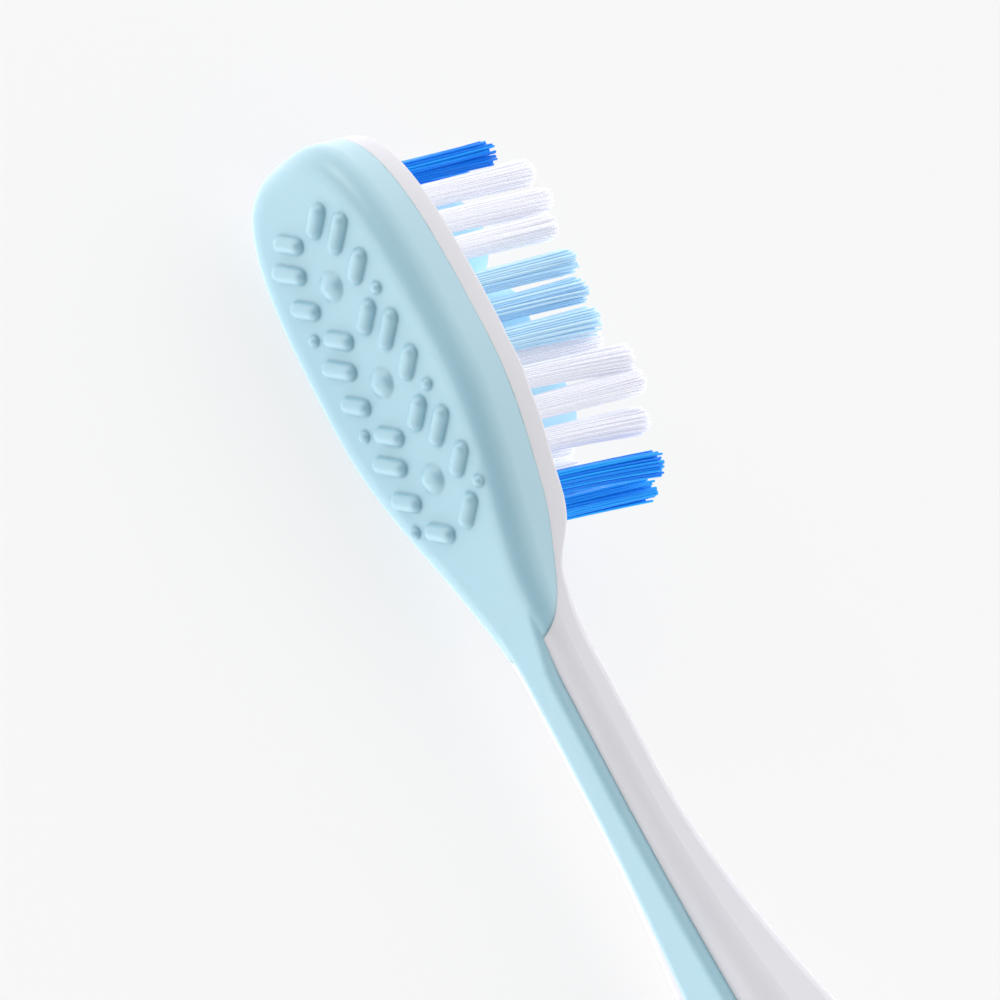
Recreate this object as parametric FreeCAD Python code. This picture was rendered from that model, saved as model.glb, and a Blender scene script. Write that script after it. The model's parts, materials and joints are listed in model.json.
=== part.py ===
import FreeCAD, Part
import math
import os
from FreeCAD import Vector

# Manual toothbrush, in millimetres.
# It is drawn with its tip at X = 0 and its handle towards -X, its bristles towards -Y, its back towards +Y
# and its width along Z. A station is a distance from the tip along the brush.

# Length and head outline, seen from the front
OVERALL_LENGTH = 190.0
HEAD_WIDTH = 13.75
TIP_TO_WIDEST = 17.0
TIP_SQUARENESS = 3.1
TIP_POINTS = 10
SMALL = 0.001
SEAM = 0.00001

# Head in section, from the bristle face (Y = 0) to the back
HEAD_THICKNESS = 5.6
RIM_BAND = 1.8
RIM_RADIUS = 0.3
BACK_RADIUS = 1.8
PAD_COVER = 1.2
PAD_WALL = 0.85
ISLAND_END = 32.5
PAD_RISE_FROM = 28.0
PAD_RISE = ((31.3, 2.35), (34.0, 3.2), (36.0, 4.5), (37.8, 6.2))

# Neck and handle: where each section lies, its width, and the heights of its front and its back
NECK_FROM = 39.0
NECK_TO = 46.5
NECK_WIDTH = 5.1
NECK_BACK = 5.05
BACK_FALLS_FROM = 30.5
NECK_BACK_FROM = 38.5
HEEL_FROM = 28.8
HEEL_TO = 33.5
HEEL_FRONT = 1.8
NECK_FRONT_AT = 40.5
NECK_FRONT = 1.45
GRIP_AT = 88.0
GRIP_WIDTH = 14.0
GRIP_FRONT = -4.8
GRIP_BACK = 5.5
WAIST_AT = 140.0
WAIST_WIDTH = 11.6
WAIST_FRONT = -3.6
WAIST_BACK = 4.9
BUTT_AT = 176.0
BUTT_WIDTH = 14.0
BUTT_FRONT = -3.8
BUTT_BACK = 4.8
BUTT_ROUND = 3.2
NECK_CORNER = 1.2
GRIP_CORNER = 2.8
CORNER_SHARE = 0.45
HEAD_STEP = 2.0
HEEL_STEP = 1.3
NECK_STEP = 5.0
HANDLE_STEP = 8.0
BUTT_STEPS = 6

# Soft strip along the back of the neck and handle
STRIP_FROM = 32.8
STRIP_OUT_BY = 40.0
STRIP_SINKS_FROM = 144.0
STRIP_END = 152.0
STRIP_START_SUNK = 0.1
STRIP_END_SUNK = 0.3
STRIP_DEPTH = 1.3
STRIP_PROUD = 0.7
STRIP_START_WIDTH = 4.4
STRIP_NECK_WIDTH = 2.6
STRIP_GRIP_WIDTH = 6.4
STRIP_END_WIDTH = 2.2
STRIP_EDGE_RADIUS = 0.6
STRIP_ROOT_RADIUS = 0.2

# Raised nubs on the back of the head, in repeating groups
NUB_GROUPS = 3
NUB_FIRST = 5.15
NUB_PITCH = 7.25
NUB_RADIUS = 0.62
NUB_HEIGHT = 0.55
NUB_TURN = 54.0
NUB_DOT_RADIUS = 0.45
NUB_DOT_HEIGHT = 0.4
NUB_BUTTON_RADIUS = 1.35
NUB_BUTTON_HEIGHT = 0.5
NUB_INNER = (0.0, 1.6, 2.6)
NUB_MIDDLE = (1.6, 2.8, 3.0)
NUB_OUTER = (4.2, 3.0, 2.6)
NUB_DOT = (6.15, 3.6)
NUB_BUTTON = 4.1

# Bristle tufts: holes in the bristle face, zones from tip to heel with the height of each tuft
HOLE_RADIUS = 0.82
HOLE_DEPTH = 3.0
TUFT_CLEARANCE = 0.02
TUFT_FLARE = 0.12
TUFT_CROWN = 0.25
TUFT_EDGE = 2.1
TUFT_PITCH = 2.12
TUFT_ZONE_GAP = 0.6
TUFT_FIRST = 4.05
ZONE_HEIGHTS = (
    ("tip", 0.0, (10.4,)),
    ("upper", 0.0, (13.0, 12.3, 11.1)),
    ("middle", TUFT_ZONE_GAP, (10.9, 10.7, 10.5)),
    ("lower", TUFT_ZONE_GAP, (11.5, 12.0, 11.0)),
    ("heel", TUFT_ZONE_GAP, (11.2,)),
)
INNER_PAIRS = (
    ("tip_inner", 3.2, 1.25, 10.2),
    ("lower_inner", 18.25, 3.1, 11.2),
)
HEEL_CENTRE = 27.9
HEEL_CENTRE_HEIGHT = 12.4

# Metal anchor plates that hold the folded tufts in their holes
ANCHOR_THICKNESS = 0.35
ANCHOR_WIDTH = 2.0
ANCHOR_HEIGHT = 1.5
FOLD_THICKNESS = 0.5

# Soft polishing cups between the tufts
CUP_NAMES = ("upper", "middle", "lower")
CUP_FIRST = 8.44
CUP_PITCH = 6.35
CUP_RADIUS = 3.3
CUP_WALL = 0.9
CUP_TIP_WALL = 0.6
CUP_HEIGHT = 6.5
CUP_BASE = 1.2
CUP_NOTCH = 2.2
CUP_STEM_RADIUS = 0.6

# Soft thumb grip let into the front of the handle, with cross ribs
THUMB_AT = 86.0
THUMB_LENGTH = 38.0
THUMB_WIDTH = 8.0
THUMB_SKIN_LENGTH = 53.0
THUMB_DEPTH = 1.3
THUMB_PROUD = 0.3
RIB_COUNT = 7
RIB_PITCH = 4.2
RIB_LENGTH = 5.0
RIB_WIDTH = 1.4
RIB_HEIGHT = 0.5

CORE_BACK = HEAD_THICKNESS - PAD_COVER

# Each line gives a value at stations along the brush, with smooth easing between them
HALF_WIDTHS = (
    (TIP_TO_WIDEST, HEAD_WIDTH / 2),
    (NECK_FROM, NECK_WIDTH / 2),
    (NECK_TO, NECK_WIDTH / 2),
    (GRIP_AT, GRIP_WIDTH / 2),
    (WAIST_AT, WAIST_WIDTH / 2),
    (BUTT_AT, BUTT_WIDTH / 2),
)
FRONTS = (
    (HEEL_FROM, 0.0),
    (HEEL_TO, HEEL_FRONT),
    (NECK_FRONT_AT, NECK_FRONT),
    (NECK_TO, NECK_FRONT),
    (GRIP_AT, GRIP_FRONT),
    (WAIST_AT, WAIST_FRONT),
    (BUTT_AT, BUTT_FRONT),
)
BACKS = (
    (BACK_FALLS_FROM, HEAD_THICKNESS),
    (NECK_BACK_FROM, NECK_BACK),
    (NECK_TO, NECK_BACK),
    (GRIP_AT, GRIP_BACK),
    (WAIST_AT, WAIST_BACK),
    (BUTT_AT, BUTT_BACK),
)
FRONT_CORNERS = (
    (HEEL_FROM, RIM_RADIUS),
    (NECK_FROM, NECK_CORNER),
    (NECK_TO, NECK_CORNER),
    (GRIP_AT, GRIP_CORNER),
)
BACK_CORNERS = (
    (HEEL_FROM, BACK_RADIUS),
    (NECK_FROM, NECK_CORNER),
    (NECK_TO, NECK_CORNER),
    (GRIP_AT, GRIP_CORNER),
)
STRIP_HALF_WIDTHS = (
    (STRIP_FROM, STRIP_START_WIDTH / 2),
    (STRIP_OUT_BY, STRIP_NECK_WIDTH / 2),
    (NECK_TO, STRIP_NECK_WIDTH / 2),
    (GRIP_AT, STRIP_GRIP_WIDTH / 2),
    (STRIP_END, STRIP_END_WIDTH / 2),
)
STRIP_PROUDS = (
    (STRIP_FROM, -STRIP_START_SUNK),
    (STRIP_OUT_BY, STRIP_PROUD),
    (STRIP_SINKS_FROM, STRIP_PROUD),
    (STRIP_END, -STRIP_END_SUNK),
)


def along(line, station):
    """Value of a line at a station: eased between its points and level beyond its ends."""
    if station <= line[0][0]:
        return line[0][1]
    for (start, first), (end, last) in zip(line, line[1:]):
        if station <= end:
            share = (station - start) / (end - start)
            return first + (last - first) * (1 - math.cos(math.pi * share)) / 2
    return line[-1][1]


def half_width(station):
    """Half the brush's width: a squared oval up to the widest point, then the eased line."""
    if station >= TIP_TO_WIDEST:
        return along(HALF_WIDTHS, station)
    share = (TIP_TO_WIDEST - station) / TIP_TO_WIDEST
    return HEAD_WIDTH / 2 * (1 - share ** TIP_SQUARENESS) ** (1 / TIP_SQUARENESS)


def spread(start, end, step):
    """Evenly spaced stations from start to end, about a step apart."""
    count = max(1, round((end - start) / step))
    return [start + (end - start) * index / count for index in range(count + 1)]


def plan_outline(end, inset, height):
    """Closed outline of the head at a height, from the tip to a straight end, drawn in by an inset."""
    reach = TIP_TO_WIDEST - inset
    half = HEAD_WIDTH / 2 - inset
    power = 2 / TIP_SQUARENESS
    side = []
    for step in range(1, TIP_POINTS + 1):
        angle = math.radians(90 * step / TIP_POINTS)
        station = TIP_TO_WIDEST - reach * math.cos(angle) ** power
        side.append((station, half * math.sin(angle) ** power))
    taper = 0.0
    if end > TIP_TO_WIDEST:
        for station in spread(TIP_TO_WIDEST, end, HEAD_STEP)[1:]:
            side.append((station, half_width(station) - inset))
        taper = half_width(end + SMALL) - half_width(end)
    near = [Vector(-station, height, z) for station, z in side]
    far = [Vector(-station, height, -z) for station, z in reversed(side)]
    curve = Part.BSplineCurve()
    curve.interpolate(
        far + [Vector(-inset, height, 0)] + near,
        InitialTangent=Vector(SMALL, 0, taper),
        FinalTangent=Vector(-SMALL, 0, taper),
    )
    return Part.Wire([curve.toShape(), Part.makeLine(near[-1], far[0])])


def prism(outline, rise):
    """Solid between an outline and its copy raised towards the back."""
    return Part.Face(outline).extrude(Vector(0, rise, 0))


def section(station, half, front, back, front_corner, back_corner):
    """Rounded rectangle across the brush at a station."""
    limit = CORNER_SHARE * min(2 * half, back - front)
    f = min(front_corner, limit)
    b = min(back_corner, limit)
    corners = (
        (back - b, half - b, b, 0),
        (back - b, b - half, b, 90),
        (front + f, f - half, f, 180),
        (front + f, half - f, f, 270),
    )
    arcs = []
    for y, z, radius, start in corners:
        points = []
        for angle in (start, start + 45, start + 90):
            turn = math.radians(angle)
            points.append(Vector(-station, y + radius * math.sin(turn), z + radius * math.cos(turn)))
        arcs.append(points)
    edges = []
    for points, following in zip(arcs, arcs[1:] + arcs[:1]):
        edges.append(Part.Arc(*points).toShape())
        edges.append(Part.makeLine(points[2], following[0]))
    return Part.Wire(edges)


def body_section(station, grow=0.0, draw_in=0.0):
    """The brush's own section, grown by an even skin and drawn in at the rounded butt."""
    return section(
        station,
        half_width(station) + grow - draw_in,
        along(FRONTS, station) - grow + draw_in,
        along(BACKS, station) + grow - draw_in,
        max(along(FRONT_CORNERS, station) + grow - draw_in, RIM_RADIUS),
        max(along(BACK_CORNERS, station) + grow - draw_in, RIM_RADIUS),
    )


def head_tip():
    """Front of the head, up to its widest point, with rounded edges all round."""
    block = prism(plan_outline(TIP_TO_WIDEST, 0.0, 0.0), HEAD_THICKNESS)
    rim = [e for e in block.Edges if e.BoundBox.YMax < RIM_RADIUS and e.BoundBox.XLength > RIM_RADIUS]
    block = block.makeFillet(RIM_RADIUS, rim)
    back = [e for e in block.Edges if e.BoundBox.YMin > HEAD_THICKNESS - RIM_RADIUS and
            e.BoundBox.XLength > RIM_RADIUS]
    return block.makeFillet(BACK_RADIUS, back)


def body():
    """Whole brush without its tufts, white core and soft back together, from the tip to the rounded butt."""
    join = (NECK_FROM + NECK_TO) / 2
    head = [body_section(station) for station in
            spread(TIP_TO_WIDEST, HEEL_FROM, HEAD_STEP) + spread(HEEL_FROM, join, HEEL_STEP)[1:]]
    stations = spread(join, NECK_TO, HEEL_STEP) + spread(NECK_TO, GRIP_AT, NECK_STEP)[1:]
    stations += spread(GRIP_AT, BUTT_AT, HANDLE_STEP)[1:]
    stations += spread(BUTT_AT, OVERALL_LENGTH - BUTT_ROUND, HEAD_STEP)[1:]
    handle = [body_section(station) for station in stations]
    for step in range(1, BUTT_STEPS + 1):
        turn = math.radians(90 * step / BUTT_STEPS)
        station = OVERALL_LENGTH - BUTT_ROUND * (1 - math.sin(turn))
        handle.append(body_section(station, draw_in=BUTT_ROUND * (1 - math.cos(turn))))
    blocks = [head_tip(), Part.makeLoft(head, True, False), Part.makeLoft(handle, True, False)]
    faces = [face for block in blocks for face in block.Faces]
    butt = SMALL - OVERALL_LENGTH
    outer = [face for face in faces if face.BoundBox.XLength > SMALL or face.BoundBox.XMin < butt]
    skin = Part.makeShell(outer)
    skin.sewShape(SEAM)
    return Part.makeSolid(skin)


def island():
    """Raised middle of the white head, drawn in from the rim, that the soft cap fits over."""
    return prism(plan_outline(ISLAND_END, PAD_WALL, RIM_BAND / 2), CORE_BACK - RIM_BAND / 2)


def soft_region():
    """Space that the soft cap takes up: behind a parting line that rises to the back at the neck."""
    beyond = 2 * HEAD_WIDTH
    rise = [Vector(-station, height, -beyond) for station, height in ((PAD_RISE_FROM, RIM_BAND),) + PAD_RISE]
    parting = Part.BSplineCurve()
    parting.interpolate(rise, InitialTangent=Vector(-1, 0, 0), FinalTangent=rise[-1] - rise[-2])
    above = Part.makePolygon([
        rise[-1],
        Vector(rise[-1].x, beyond, -beyond),
        Vector(beyond, beyond, -beyond),
        Vector(beyond, RIM_BAND, -beyond),
        rise[0],
    ])
    side = Part.Face(Part.Wire([parting.toShape()] + above.Edges))
    return side.extrude(Vector(0, 0, 2 * beyond))


def back_strip():
    """Raised soft strip let into the back of the neck and handle, sinking into it at both ends."""
    sections = []
    stations = spread(STRIP_FROM, NECK_TO, HEEL_STEP) + spread(NECK_TO, STRIP_END, HANDLE_STEP)[1:]
    for station in stations:
        back = along(BACKS, station)
        sections.append(section(
            station,
            along(STRIP_HALF_WIDTHS, station),
            back - STRIP_DEPTH,
            back + along(STRIP_PROUDS, station),
            STRIP_ROOT_RADIUS,
            STRIP_EDGE_RADIUS,
        ))
    return Part.makeLoft(sections, True, False)


def nub(station, offset, length, turn):
    """Half-sunk capsule, turned about the back's normal."""
    half = length / 2
    straight = half - NUB_RADIUS
    bend = NUB_RADIUS * math.sqrt(0.5)
    start = Vector(-half, 0, 0)
    end = Vector(half, 0, 0)
    start_top = Vector(-straight, NUB_RADIUS, 0)
    end_top = Vector(straight, NUB_RADIUS, 0)
    edges = [
        Part.Arc(start, Vector(-straight - bend, bend, 0), start_top).toShape(),
        Part.makeLine(start_top, end_top),
        Part.Arc(end_top, Vector(straight + bend, bend, 0), end).toShape(),
        Part.makeLine(end, start),
    ]
    capsule = Part.Face(Part.Wire(edges)).revolve(Vector(0, 0, 0), Vector(1, 0, 0), 360)
    capsule.rotate(Vector(0, 0, 0), Vector(0, 1, 0), turn)
    capsule.translate(Vector(-station, HEAD_THICKNESS + NUB_HEIGHT - NUB_RADIUS, offset))
    return capsule


def dome(station, offset, radius, height):
    """Ball sunk into the back, with only its top standing out."""
    centre = Vector(-station, HEAD_THICKNESS + height - radius, offset)
    return Part.makeSphere(radius, centre, Vector(0, 1, 0))


def nubs():
    """Chevron groups of nubs, mirrored about the centre line, and one last pair towards the neck."""
    shapes = []
    for group in range(NUB_GROUPS + 1):
        start = NUB_FIRST + group * NUB_PITCH
        last = group == NUB_GROUPS
        bars = (NUB_INNER,) if last else (NUB_INNER, NUB_MIDDLE, NUB_OUTER)
        for side in (1, -1):
            for step, offset, length in bars:
                shapes.append(nub(start + step, side * offset, length, -side * NUB_TURN))
            if not last:
                shapes.append(dome(start + NUB_DOT[0], side * NUB_DOT[1], NUB_DOT_RADIUS, NUB_DOT_HEIGHT))
        if not last:
            shapes.append(dome(start + NUB_BUTTON, 0.0, NUB_BUTTON_RADIUS, NUB_BUTTON_HEIGHT))
    return shapes


def back_overmould(whole):
    """Soft back in one shot: the cap over the head, its nubs and the strip down the handle."""
    cap = whole.common(soft_region()).cut(island())
    return cap.fuse(back_strip()).fuse(nubs())


def thumb_grip():
    """Soft oval let into the front of the handle, following its curve, with raised cross ribs."""
    half = THUMB_SKIN_LENGTH / 2
    stations = spread(THUMB_AT - half, THUMB_AT + half, HANDLE_STEP)

    def skin(grow):
        return Part.makeLoft([body_section(station, grow) for station in stations], True, False)

    def front_prism(outline):
        return Part.Face(outline).extrude(Vector(0, 2 * GRIP_FRONT, 0))

    oval = Part.Ellipse(Vector(-THUMB_AT, 0, 0), THUMB_LENGTH / 2, THUMB_WIDTH / 2).toShape()
    oval.rotate(Vector(-THUMB_AT, 0, 0), Vector(1, 0, 0), 90)
    bed = skin(-THUMB_DEPTH)
    grip = front_prism(Part.Wire([oval])).common(skin(THUMB_PROUD))
    rib_tops = skin(THUMB_PROUD + RIB_HEIGHT)
    ribs = []
    for index in range(RIB_COUNT):
        x = -THUMB_AT + RIB_PITCH * (index - (RIB_COUNT - 1) / 2)
        w = RIB_WIDTH / 2
        z = RIB_LENGTH / 2 - w
        outline = Part.Wire([
            Part.makeLine(Vector(x - w, 0, -z), Vector(x - w, 0, z)),
            Part.Arc(Vector(x - w, 0, z), Vector(x, 0, z + w), Vector(x + w, 0, z)).toShape(),
            Part.makeLine(Vector(x + w, 0, z), Vector(x + w, 0, -z)),
            Part.Arc(Vector(x + w, 0, -z), Vector(x, 0, -z - w), Vector(x - w, 0, -z)).toShape(),
        ])
        ribs.append(front_prism(outline).common(rib_tops))
    return grip.fuse(ribs).cut(bed)


def turned(profile, station, offset):
    """Solid of revolution about a bristle axis; the profile gives radius and height above the face."""
    points = [Vector(radius, -height, 0) for radius, height in profile]
    face = Part.Face(Part.makePolygon(points + points[:1]))
    shape = face.revolve(Vector(0, 0, 0), Vector(0, 1, 0), 360)
    shape.translate(Vector(-station, 0, offset))
    return shape


def cup_stems(station):
    """Round roots of a cup, through the plate to the soft back."""
    middle = CUP_RADIUS - CUP_WALL / 2
    return [hole(CUP_STEM_RADIUS, CORE_BACK, station, side * middle) for side in (1, -1)]


def polishing_cup(station):
    """Soft cup of two facing crescents on a low ring, rooted through the plate to the back."""
    inner = CUP_RADIUS - CUP_WALL
    middle = CUP_RADIUS - CUP_WALL / 2
    cup = turned((
        (inner, 0.0),
        (CUP_RADIUS, 0.0),
        (middle + CUP_TIP_WALL / 2, CUP_HEIGHT),
        (middle - CUP_TIP_WALL / 2, CUP_HEIGHT),
    ), station, 0.0)
    notch = Part.makeBox(2 * CUP_RADIUS, CUP_HEIGHT, CUP_NOTCH)
    notch.translate(Vector(-station - CUP_RADIUS, -CUP_HEIGHT - CUP_BASE, -CUP_NOTCH / 2))
    return cup.cut(notch).fuse(cup_stems(station))


def hole(radius, depth, station, offset):
    """Cylinder sunk from the bristle face."""
    return Part.makeCylinder(radius, depth, Vector(-station, 0, offset), Vector(0, 1, 0))


def anchor(station, offset):
    """Thin plate across the bottom of a tuft's hole, biting into its walls."""
    plate = Part.makeBox(ANCHOR_THICKNESS, ANCHOR_HEIGHT, ANCHOR_WIDTH)
    bottom = HOLE_DEPTH - FOLD_THICKNESS - ANCHOR_HEIGHT
    plate.translate(Vector(-station - ANCHOR_THICKNESS / 2, bottom, offset - ANCHOR_WIDTH / 2))
    return plate


def tuft(station, offset, height):
    """Bundle of bristles folded round its anchor, flaring a little towards a rounded crown."""
    root = HOLE_RADIUS - TUFT_CLEARANCE
    crown = root + TUFT_FLARE
    bundle = turned((
        (0.0, -HOLE_DEPTH),
        (root, -HOLE_DEPTH),
        (root, 0.0),
        (crown, height - TUFT_CROWN),
        (crown - TUFT_CROWN, height),
        (0.0, height),
    ), station, offset)
    return bundle.cut(anchor(station, offset))


def tuft_places():
    """Name, station, offset across the head and height of every tuft."""
    places = []
    station = TUFT_FIRST - TUFT_PITCH
    for zone, gap, heights in ZONE_HEIGHTS:
        station += gap
        for number, height in enumerate(heights, 1):
            station += TUFT_PITCH
            offset = half_width(station) - TUFT_EDGE
            places.append((f"tuft_{zone}_left_{number}", station, offset, height))
            places.append((f"tuft_{zone}_right_{number}", station, -offset, height))
    for name, station, offset, height in INNER_PAIRS:
        places.append((f"tuft_{name}_left", station, offset, height))
        places.append((f"tuft_{name}_right", station, -offset, height))
    places.append(("tuft_heel_centre", HEEL_CENTRE, 0.0, HEEL_CENTRE_HEIGHT))
    return places


def brush():
    """Every piece of the brush by name."""
    places = tuft_places()
    whole = body()
    pieces = {"back_overmould": back_overmould(whole), "thumb_grip": thumb_grip()}
    holes = [hole(HOLE_RADIUS, HOLE_DEPTH, station, offset) for name, station, offset, height in places]
    for index, name in enumerate(CUP_NAMES):
        station = CUP_FIRST + index * CUP_PITCH
        pieces[f"polishing_cup_{name}"] = polishing_cup(station)
        holes += cup_stems(station)
    anchors = [anchor(station, offset) for name, station, offset, height in places]
    core = whole.cut([pieces["back_overmould"], pieces["thumb_grip"]])
    pieces["handle_core"] = core.cut(holes + anchors)
    pieces["tuft_anchors"] = Part.Compound(anchors)
    for name, station, offset, height in places:
        pieces[name] = tuft(station, offset, height)
    return pieces


def main():
    """Sets the origin at the bottom centre of the whole brush and writes each piece."""
    pieces = brush()
    box = FreeCAD.BoundBox()
    for shape in pieces.values():
        box.add(shape.optimalBoundingBox(False, False))
    origin = Vector(box.Center.x, box.Center.y, box.ZMin)
    os.makedirs("parts", exist_ok=True)
    for name, shape in pieces.items():
        shape.translate(-origin)
        shape.exportStep(f"parts/{name}.step")
        print(name, "solids", len(shape.Solids), "valid", shape.isValid(), "volume", round(shape.Volume, 3))
    print("box", round(box.XLength, 3), round(box.YLength, 3), round(box.ZLength, 3))
    print("origin in the drawing", [round(value, 4) for value in origin])


main()
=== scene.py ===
import json
import math
import random

import bpy
from mathutils import Matrix, Vector


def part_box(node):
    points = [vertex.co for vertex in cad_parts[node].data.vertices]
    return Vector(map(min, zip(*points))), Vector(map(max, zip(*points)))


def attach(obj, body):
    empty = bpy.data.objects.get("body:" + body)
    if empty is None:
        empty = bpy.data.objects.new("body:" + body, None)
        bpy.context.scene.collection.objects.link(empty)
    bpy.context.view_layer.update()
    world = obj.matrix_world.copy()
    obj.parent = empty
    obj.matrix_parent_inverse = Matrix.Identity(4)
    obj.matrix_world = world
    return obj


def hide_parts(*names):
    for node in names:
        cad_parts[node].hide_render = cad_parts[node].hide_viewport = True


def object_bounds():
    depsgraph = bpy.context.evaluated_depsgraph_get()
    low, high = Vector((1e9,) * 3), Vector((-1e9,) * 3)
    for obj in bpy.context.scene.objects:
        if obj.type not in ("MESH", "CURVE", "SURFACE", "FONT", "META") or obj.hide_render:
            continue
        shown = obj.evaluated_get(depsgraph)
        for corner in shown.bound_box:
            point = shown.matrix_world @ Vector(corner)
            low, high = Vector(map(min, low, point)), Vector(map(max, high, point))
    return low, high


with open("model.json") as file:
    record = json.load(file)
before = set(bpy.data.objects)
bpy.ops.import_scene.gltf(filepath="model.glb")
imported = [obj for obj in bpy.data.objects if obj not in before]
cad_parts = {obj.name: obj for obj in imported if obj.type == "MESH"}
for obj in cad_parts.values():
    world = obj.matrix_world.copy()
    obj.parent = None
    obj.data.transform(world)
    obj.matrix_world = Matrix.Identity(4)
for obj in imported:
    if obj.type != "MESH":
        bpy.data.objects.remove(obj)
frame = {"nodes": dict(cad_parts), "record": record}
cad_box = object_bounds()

# A manual toothbrush that lies on its side, with its near side up.
# The tip points towards +X, the back towards +Y and the bristles towards -Y.
# Sizes of the brush are in millimetres, and MM turns them into the frame's metres.
MM = 0.001
HOLE_DEPTH = 3.0

core_low, core_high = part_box("handle_core")
TIP_X = core_high.x
MIDDLE_Z = (core_low.z + core_high.z) / 2
FACE_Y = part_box("tuft_upper_left_1")[1].y - HOLE_DEPTH * MM


def place(station, height, across):
    """Point at a distance from the tip, a height behind the bristle face and a distance across."""
    return Vector((TIP_X - station * MM, FACE_Y + height * MM, MIDDLE_Z + across * MM))


def add_object(name, data):
    """New object in the scene, with a mesh, a camera or a lamp as its data."""
    made = bpy.data.objects.new(name, data)
    bpy.context.scene.collection.objects.link(made)
    return made


# Places of the colour sockets on a Mix node, and of the sockets used on other nodes
MIX_SHARE, MIX_FIRST, MIX_SECOND, MIX_RESULT = 0, 6, 7, 2
DIRECTION_OUT, OBJECT_OUT = 0, 3
OPENNESS_OUT = 1
DOT_OUT = 1
ATTRIBUTE_VALUE_OUT = 2


class Signal:
    """A socket of a shader tree. Arithmetic on it adds Math nodes, and add() makes any node."""

    def __init__(self, tree, socket=None):
        self.tree = tree
        self.socket = socket

    def add(self, kind, settings=None, inputs=None, output=0):
        """Makes a node: its settings first, then the values or links of its sockets."""
        node = self.tree.nodes.new(kind)
        for name, value in (settings or {}).items():
            setattr(node, name, value)
        for name, value in (inputs or {}).items():
            if isinstance(value, Signal):
                self.tree.links.new(value.socket, node.inputs[name])
            else:
                node.inputs[name].default_value = value
        return Signal(self.tree, node.outputs[output] if node.outputs else None)

    def calc(self, operation, first, second, clamp=False):
        return self.add("ShaderNodeMath", {"operation": operation, "use_clamp": clamp},
                        {0: first, 1: second})

    def __add__(self, other):
        return self.calc("ADD", self, other)

    def __radd__(self, other):
        return self.calc("ADD", other, self)

    def __sub__(self, other):
        return self.calc("SUBTRACT", self, other)

    def __rsub__(self, other):
        return self.calc("SUBTRACT", other, self)

    def __rmul__(self, other):
        return self.calc("MULTIPLY", other, self)

    def __pow__(self, power):
        return self.calc("POWER", self, power)

    def blend(self, first, second):
        """Colour between two colours, by this signal."""
        return self.add("ShaderNodeMix", {"data_type": "RGBA"},
                        {MIX_SHARE: self, MIX_FIRST: first, MIX_SECOND: second}, MIX_RESULT)

    def noise(self, per_metre, detail=2.0):
        """Even noise in space, with a given number of blobs in a metre."""
        spot = self.add("ShaderNodeTexCoord", output=OBJECT_OUT)
        return self.add("ShaderNodeTexNoise", None,
                        {"Vector": spot, "Scale": per_metre, "Detail": detail})

    def bump(self, height, strength, depth, normal=None):
        """Normal of a surface with small heights on it, over a softened normal if one is given."""
        inputs = {"Strength": strength, "Distance": depth, "Height": height}
        if normal:
            inputs["Normal"] = normal
        return self.add("ShaderNodeBump", None, inputs)


def empty_tree(owner):
    """Cleared tree of a material or a world, as a signal to build on."""
    owner.use_nodes = True
    owner.node_tree.nodes.clear()
    return Signal(owner.node_tree)


def material(name):
    """New material and its empty tree."""
    made = bpy.data.materials.new(name)
    return made, empty_tree(made)


def surface(tree, shader):
    tree.add("ShaderNodeOutputMaterial", None, {"Surface": shader})


def principled(tree, inputs):
    surface(tree, tree.add("ShaderNodeBsdfPrincipled", None, inputs))


def opaque(colour):
    return (*colour, 1.0)


AQUA = (0.300, 0.540, 0.645)
AQUA_PALE = (0.325, 0.560, 0.665)
# Painted shade: the darker, deeper teal that is laid into creases and round the nubs
AQUA_PAINTED_SHADE = (0.13, 0.46, 0.56)
CUP_AQUA = (0.50, 0.80, 0.92)
CUP_AQUA_PALE = (0.56, 0.84, 0.95)
WHITE_PLASTIC = (0.72, 0.71, 0.74)
WHITE_PLASTIC_COOL = (0.69, 0.69, 0.74)
WHITE_NYLON = (0.77, 0.78, 0.88)
WHITE_NYLON_PALE = (0.88, 0.89, 0.96)
LIGHT_BLUE = (0.29, 0.58, 0.92)
LIGHT_BLUE_PALE = (0.55, 0.80, 0.98)
DEEP_BLUE = (0.0, 0.16, 0.82)
DEEP_BLUE_PALE = (0.02, 0.40, 1.0)
BRASS = (0.74, 0.66, 0.46)
BRASS_PALE = (0.80, 0.74, 0.58)
# Elastomer: rounding of the edges in the light, and how far and how fast the painted shade in
# creases deepens
EDGE_SOFTNESS = 0.4
PAINTED_SHADE_REACH = 0.7
PAINTED_SHADE_CURVE = 0.8


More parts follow.
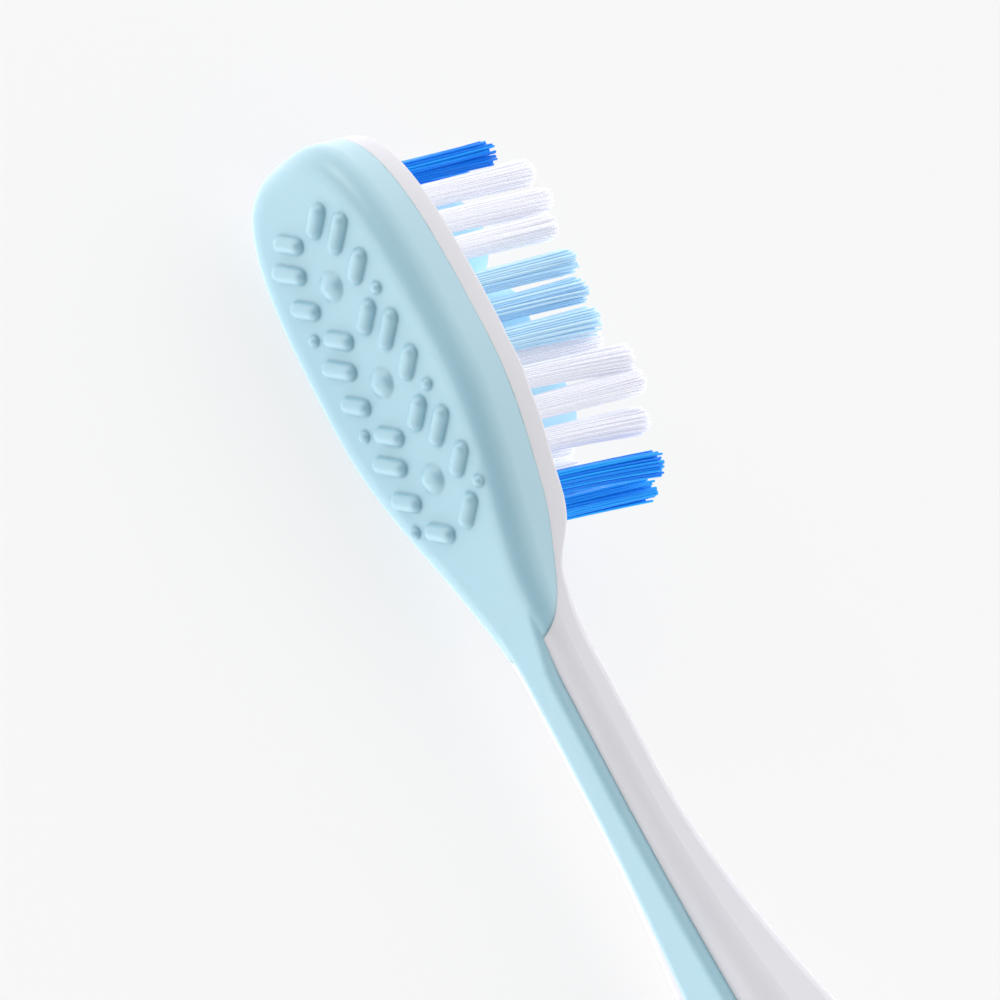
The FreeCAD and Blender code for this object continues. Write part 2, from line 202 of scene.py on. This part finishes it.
def soft_aqua(name, colour, pale, veil, glow):
    """Satin soft-touch elastomer: faint clouds, painted shade in its creases, a fine grain, a milky
    veil and a painted glow of the given strength.
    """
    made, tree = material(name)
    cloud = tree.noise(per_metre=220.0, detail=3.0)
    grain = tree.noise(per_metre=9000.0)
    soft_edge = tree.add("ShaderNodeBevel", {"samples": 6}, {"Radius": EDGE_SOFTNESS * MM})
    # Painted shade: where ambient occlusion finds nearby surface round a spot, in creases and round
    # the nubs, the colour turns towards the darker crease teal
    open_sky = tree.add("ShaderNodeAmbientOcclusion", {"samples": 8},
                        {"Distance": PAINTED_SHADE_REACH * MM, "Normal": soft_edge}, OPENNESS_OUT)
    painted_shade = tree.calc("SUBTRACT", 1.0, open_sky ** PAINTED_SHADE_CURVE, clamp=True)
    flat = cloud.blend(opaque(colour), opaque(pale))
    principled(tree, {
        "Base Color": painted_shade.blend(flat, opaque(AQUA_PAINTED_SHADE)),
        "Roughness": 0.36 + 0.10 * cloud,
        "Specular IOR Level": veil,
        "Coat Weight": veil,
        "Coat Roughness": 0.35,
        "Coat IOR": 1.6,
        "Subsurface Weight": 0.15,
        "Subsurface Radius": (0.6, 0.9, 1.0),
        "Subsurface Scale": 1.2 * MM,
        # Painted glow: the elastomer gives off light of its own, in its pale colour
        "Emission Color": opaque(pale),
        "Emission Strength": glow,
        "Normal": tree.bump(grain, strength=0.12, depth=0.02 * MM, normal=soft_edge),
    })
    return made


def white_core():
    """Satin moulded plastic with faint flow marks."""
    made, tree = material("white_core_plastic")
    flow = tree.noise(per_metre=90.0, detail=3.0)
    grain = tree.noise(per_metre=6000.0)
    principled(tree, {
        "Base Color": flow.blend(opaque(WHITE_PLASTIC), opaque(WHITE_PLASTIC_COOL)),
        "Roughness": 0.34 + 0.10 * flow,
        "Specular IOR Level": 0.25,
        "Subsurface Weight": 0.2,
        "Subsurface Radius": (1.0, 1.0, 1.0),
        "Subsurface Scale": 1.0 * MM,
        "Normal": tree.bump(grain, strength=0.05, depth=0.01 * MM),
    })
    return made


def bristle(name, dark, light, see_through, glow, gloss):
    """Nylon filaments: each has its own tone between two colours, and all give off a painted glow
    in the lighter one.
    """
    made, tree = material(name)
    shade = tree.add("ShaderNodeAttribute", {"attribute_name": "shade"}, output=ATTRIBUTE_VALUE_OUT)
    principled(tree, {
        "Base Color": shade.blend(opaque(dark), opaque(light)),
        "Roughness": 0.30 + 0.15 * shade,
        "Specular IOR Level": gloss,
        "Subsurface Weight": see_through,
        "Subsurface Radius": (1.0, 1.0, 1.0),
        "Subsurface Scale": 0.4 * MM,
        # Painted glow: the filaments give off light of their own, standing in for light through the
        # tufts
        "Emission Color": opaque(light),
        "Emission Strength": glow,
    })
    return made


def anchor_metal():
    """Plain stamped strip with fine rolling marks."""
    made, tree = material("anchor_brass")
    marks = tree.noise(per_metre=4000.0)
    principled(tree, {
        "Base Color": marks.blend(opaque(BRASS), opaque(BRASS_PALE)),
        "Metallic": 1.0,
        "Roughness": 0.28 + 0.15 * marks,
    })
    return made


FINISHES = {
    "soft_aqua": soft_aqua("soft_aqua_elastomer", AQUA, AQUA_PALE, veil=1.0, glow=0.0),
    # The cups carry a painted glow, which lightens them as if lit from within
    "cup": soft_aqua("cup_elastomer", CUP_AQUA, CUP_AQUA_PALE, veil=0.5, glow=0.25),
    "white_core": white_core(),
    # Each filament finish carries a painted glow of the given strength
    "bristle_white": bristle("white_filaments", WHITE_NYLON, WHITE_NYLON_PALE,
                             see_through=0.6, glow=0.14, gloss=0.4),
    "bristle_light_blue": bristle("light_blue_filaments", LIGHT_BLUE, LIGHT_BLUE_PALE,
                                  see_through=0.4, glow=0.10, gloss=0.4),
    "bristle_deep_blue": bristle("deep_blue_filaments", DEEP_BLUE, DEEP_BLUE_PALE,
                                 see_through=0.2, glow=0.08, gloss=0.1),
    "anchor_metal": anchor_metal(),
}
SLOTS = {part["node"]: part["material_slot"] for part in frame["record"]["subparts"]}

for name, node in frame["nodes"].items():
    finish = "cup" if name.startswith("polishing_cup") else SLOTS[name]
    node.data.materials.clear()
    node.data.materials.append(FINISHES[finish])

# Bristle tufts: a bundle of round-ended filaments stands for each tuft's solid
FILAMENT_RADII = {"bristle_white": 0.065, "bristle_light_blue": 0.075, "bristle_deep_blue": 0.09}
FILAMENT_SIDES = 6
FILAMENT_STEPS = 6
# Pitch of the filaments, and the rings of their round ends by distance from the end and width,
# all in filament radii
FILAMENT_CROWDING = 2.12
END_RINGS = ((0.9, 1.0), (0.3, 0.75))
BUNDLE_RADIUS = 0.79
ROOT_DEPTH = 0.4
# Crown: its radius, how much shorter its outermost filaments are, and how ragged it is
CROWN_RADII = {"bristle_white": 0.90, "bristle_light_blue": 0.92, "bristle_deep_blue": 0.88}
CROWN_ROUNDING = 0.35
CROWN_CURVE = 4
RAGGED = {"bristle_white": 0.35, "bristle_light_blue": 0.6, "bristle_deep_blue": 0.7}
TIP_JITTER = 0.06
# A filament leaves its root upright and bends out towards its tip
BEND_CURVE = 1.6
SIDE_LEAN = 0.15
# How far a tuft's crown leans towards the handle, and how much shorter it is trimmed
SETS = {
    "tuft_tip_left_1": (0.0, 0.5),
    "tuft_upper_left_1": (0.0, 1.0),
    "tuft_upper_left_2": (0.2, 0.7),
    "tuft_upper_left_3": (0.0, 0.4),
    "tuft_middle_left_1": (0.0, 0.0),
    "tuft_middle_left_2": (0.0, 0.3),
    "tuft_middle_left_3": (0.1, 0.3),
    "tuft_lower_inner_left": (0.0, 0.0),
    "tuft_lower_left_1": (0.45, 0.1),
    "tuft_lower_left_2": (0.0, 0.3),
    "tuft_lower_left_3": (0.35, 0.1),
    "tuft_heel_left_1": (0.52, 0.0),
    "tuft_heel_right_1": (-0.5, 0.4),
    "tuft_heel_centre": (0.36, 0.2),
}
USUAL_SET = (0.2, 0.3)
# How much lighter a tuft's filaments are painted than the rest: painted light, for tufts that catch
# more light or are lit from behind
PAINTED_LIGHT_LIFT = {
    "tuft_upper_left_1": 0.35,
    "tuft_upper_left_2": 0.55,
    "tuft_upper_left_3": 0.35,
    "tuft_middle_left_1": 0.35,
    "tuft_middle_left_3": 0.45,
    "tuft_heel_centre": 0.40,
}


def packed_spots(radius, pitch):
    """Spots of a close-packed round bundle."""
    row_pitch = pitch * math.sqrt(3) / 2
    rows = int(radius / row_pitch) + 1
    spots = []
    for row in range(-rows, rows + 1):
        shift = pitch / 2 if row % 2 else 0.0
        for column in range(-rows, rows + 1):
            u = column * pitch + shift
            v = row * row_pitch
            if math.hypot(u, v) <= radius:
                spots.append((u, v))
    return spots


def filament(path, radius, shade, verts, faces, shades):
    """Adds a round-ended tube along a path of points, with rings across the bristle axis."""
    rings = [(point, radius) for point in path[:-1]]
    before, end = path[-2], path[-1]
    reach = (before - end).length
    for gap, width in END_RINGS:
        rings.append((before.lerp(end, 1 - gap * radius / reach), radius * width))
    first = len(verts)
    for point, width in rings:
        for side in range(FILAMENT_SIDES):
            angle = 2 * math.pi * side / FILAMENT_SIDES
            verts.append(point + Vector((width * math.cos(angle), 0.0, width * math.sin(angle))))
    verts.append(end)
    for ring in range(len(rings) - 1):
        here = first + ring * FILAMENT_SIDES
        for side in range(FILAMENT_SIDES):
            a, b = here + side, here + (side + 1) % FILAMENT_SIDES
            faces.append((a, b, b + FILAMENT_SIDES, a + FILAMENT_SIDES))
    last = first + (len(rings) - 1) * FILAMENT_SIDES
    for side in range(FILAMENT_SIDES):
        faces.append((last + side, last + (side + 1) % FILAMENT_SIDES, len(verts) - 1))
    faces.append(tuple(first + side for side in reversed(range(FILAMENT_SIDES))))
    shades.extend([shade] * (len(verts) - first))


def smooth_piece(name, verts, faces):
    mesh = bpy.data.meshes.new(name)
    mesh.from_pydata([tuple(v) for v in verts], [], faces)
    mesh.polygons.foreach_set("use_smooth", [True] * len(mesh.polygons))
    mesh.update()
    return add_object(name, mesh)


def bristle_tuft(node, seed):
    """Bundle of filaments in the place of one tuft's solid."""
    draw = random.Random(seed)
    low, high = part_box(node)
    centre = Vector(((low.x + high.x) / 2, FACE_Y, (low.z + high.z) / 2))
    tilt, trim = SETS.get(node, USUAL_SET)
    length = FACE_Y - low.y - trim * MM
    lean = Vector((-tilt, 0.0, draw.uniform(-SIDE_LEAN, SIDE_LEAN))) * MM
    radius = FILAMENT_RADII[SLOTS[node]]
    ragged = RAGGED[SLOTS[node]]
    spread = CROWN_RADII[SLOTS[node]] / BUNDLE_RADIUS
    verts, faces, shades = [], [], []
    for u, v in packed_spots(BUNDLE_RADIUS, FILAMENT_CROWDING * radius):
        out = math.hypot(u, v) / BUNDLE_RADIUS
        root = centre + Vector((u, ROOT_DEPTH, v)) * MM
        own = length - MM * (ragged * draw.random() ** 2 + CROWN_ROUNDING * out ** CROWN_CURVE)
        tip = centre + Vector((u * spread + draw.gauss(0, TIP_JITTER), 0.0,
                               v * spread + draw.gauss(0, TIP_JITTER))) * MM + lean
        tip.y = FACE_Y - own
        path = []
        for step in range(FILAMENT_STEPS + 1):
            share = step / FILAMENT_STEPS
            bend = share ** BEND_CURVE
            path.append(Vector((root.x + (tip.x - root.x) * bend,
                                root.y + (tip.y - root.y) * share,
                                root.z + (tip.z - root.z) * bend)))
        # Each filament's own random tone, raised by painted light on some tufts
        shade = draw.random() + PAINTED_LIGHT_LIFT.get(node, 0.0)
        filament(path, radius * MM, shade, verts, faces, shades)
    piece = smooth_piece(node.replace("tuft_", "bristles_"), verts, faces)
    piece.data.attributes.new("shade", "FLOAT", "POINT").data.foreach_set("value", shades)
    piece.data.materials.append(FINISHES[SLOTS[node]])
    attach(piece, "root")
    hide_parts(node)


TUFTS = sorted(name for name in frame["nodes"]
               if name.startswith("tuft_") and name != "tuft_anchors")
for seed, node in enumerate(TUFTS):
    bristle_tuft(node, seed)

# Camera at the photograph's angle: its right, up and backward directions in the frame
CAMERA_RIGHT = Vector((-0.456, -0.686, 0.567))
CAMERA_UP = Vector((0.863, -0.184, 0.471))
CAMERA_BACK = Vector((-0.219, 0.704, 0.676))
FRAME_WIDTH = 64.94
LENS = 400.0
SENSOR = 36.0
FAR_CLIP_METRES = 20.0
VIEW_CENTRE = place(station=26.33, height=1.35, across=0.51)

lens = bpy.data.cameras.new("camera")
lens.sensor_width = SENSOR
lens.lens = LENS
lens.clip_end = FAR_CLIP_METRES
camera = add_object("camera", lens)
camera_turn = Matrix((CAMERA_RIGHT, CAMERA_UP, CAMERA_BACK)).transposed().to_4x4()
camera_distance = FRAME_WIDTH * LENS / SENSOR * MM
camera.matrix_world = Matrix.Translation(VIEW_CENTRE + CAMERA_BACK * camera_distance) @ camera_turn
bpy.context.scene.camera = camera

# Studio light: a bright tent, a pale floor and two soft lamps. The tent is darker round the camera
# and to its right, and brighter along its lean. One lamp is under the floor, and the floor casts
# no shadow, so that this lamp reaches the brush.
WHITE = (1.0, 1.0, 1.0)
BACKGROUND = (0.92, 0.92, 0.92)
GLOW = (0.945, 0.945, 0.945)
TENT = 1.15
TENT_OPENING = 0.70
TENT_DIP = 0.12
TENT_FALL_OFF = 2.0
TENT_LEAN = (0.17, -0.23, 0.16)
# What the floor sends up to the brush, and the share of its own glow where the camera sees it
TABLE_LIGHT = 0.62
FLOOR_GLOW = 0.75
FLOOR_REACH_METRES = 3.0
FLOOR_GAP = 0.1


def seen_directly(tree):
    """One where a ray comes from the camera or through glass."""
    node = tree.add("ShaderNodeLightPath").socket.node
    seen = [Signal(tree.tree, node.outputs[name])
            for name in ("Is Camera Ray", "Is Transmission Ray")]
    return tree.calc("ADD", seen[0], seen[1], clamp=True)


world = bpy.data.worlds.new("tent")
bpy.context.scene.world = world
tent = empty_tree(world)
towards = tent.add("ShaderNodeTexCoord", output=DIRECTION_OUT)


def along(direction):
    """How far a ray to the tent points along a direction."""
    return tent.add("ShaderNodeVectorMath", {"operation": "DOT_PRODUCT"},
                    {0: towards, 1: tuple(direction)}, DOT_OUT)


def patch(direction):
    """Soft patch of the tent round a direction."""
    return tent.calc("MAXIMUM", along(direction), 0.0) ** TENT_FALL_OFF


brightness = TENT * (1 - TENT_OPENING * patch(CAMERA_BACK) - TENT_DIP * patch(CAMERA_RIGHT)
                     + along(TENT_LEAN))
light = tent.add("ShaderNodeBackground", None, {"Color": opaque(WHITE), "Strength": brightness})
backdrop = tent.add("ShaderNodeBackground", None, {"Color": opaque(BACKGROUND), "Strength": 1.0})
shown = tent.add("ShaderNodeMixShader", None, {0: seen_directly(tent), 1: light, 2: backdrop})
tent.add("ShaderNodeOutputWorld", None, {"Surface": shown})

FLOOR_Z = cad_box[0].z - FLOOR_GAP * MM
FLOOR_CORNERS = ((-1, -1), (1, -1), (1, 1), (-1, 1))
floor_mesh = bpy.data.meshes.new("floor")
floor_mesh.from_pydata([(x * FLOOR_REACH_METRES, y * FLOOR_REACH_METRES, FLOOR_Z)
                        for x, y in FLOOR_CORNERS], [], [(0, 1, 2, 3)])
floor = add_object("floor", floor_mesh)
floor_finish, paper = material("pale_paper")
matt = paper.add("ShaderNodeBsdfDiffuse", None, {"Color": opaque(BACKGROUND)})
under = paper.add("ShaderNodeEmission", None, {"Color": opaque(WHITE), "Strength": TABLE_LIGHT})
lit = paper.add("ShaderNodeAddShader", None, {0: matt, 1: under})
glow = paper.add("ShaderNodeEmission", None, {"Color": opaque(GLOW), "Strength": 1.0})
faint = paper.add("ShaderNodeMixShader", None, {0: FLOOR_GLOW, 1: matt, 2: glow})
surface(paper, paper.add("ShaderNodeMixShader", None, {0: seen_directly(paper), 1: lit, 2: faint}))
floor_mesh.materials.append(floor_finish)
floor.visible_shadow = False


def soft_lamp(name, direction, metres, size, power):
    """Round lamp at a distance from the middle of the view, turned towards it."""
    lamp = bpy.data.lights.new(name, "AREA")
    lamp.shape = "DISK"
    lamp.size = size
    lamp.energy = power
    piece = add_object(name, lamp)
    aim = direction.normalized()
    piece.location = VIEW_CENTRE + aim * metres
    piece.rotation_mode = "QUATERNION"
    piece.rotation_quaternion = aim.to_track_quat("Z", "Y")
    piece.visible_camera = False


soft_lamp("key", Vector((0.75, 0.65, 0.45)), metres=0.8, size=0.25, power=0.6)
soft_lamp("light_table", Vector((-0.1, 0.38, -0.92)), metres=0.8, size=0.5, power=0.8)

bpy.context.scene.view_settings.view_transform = "Standard"
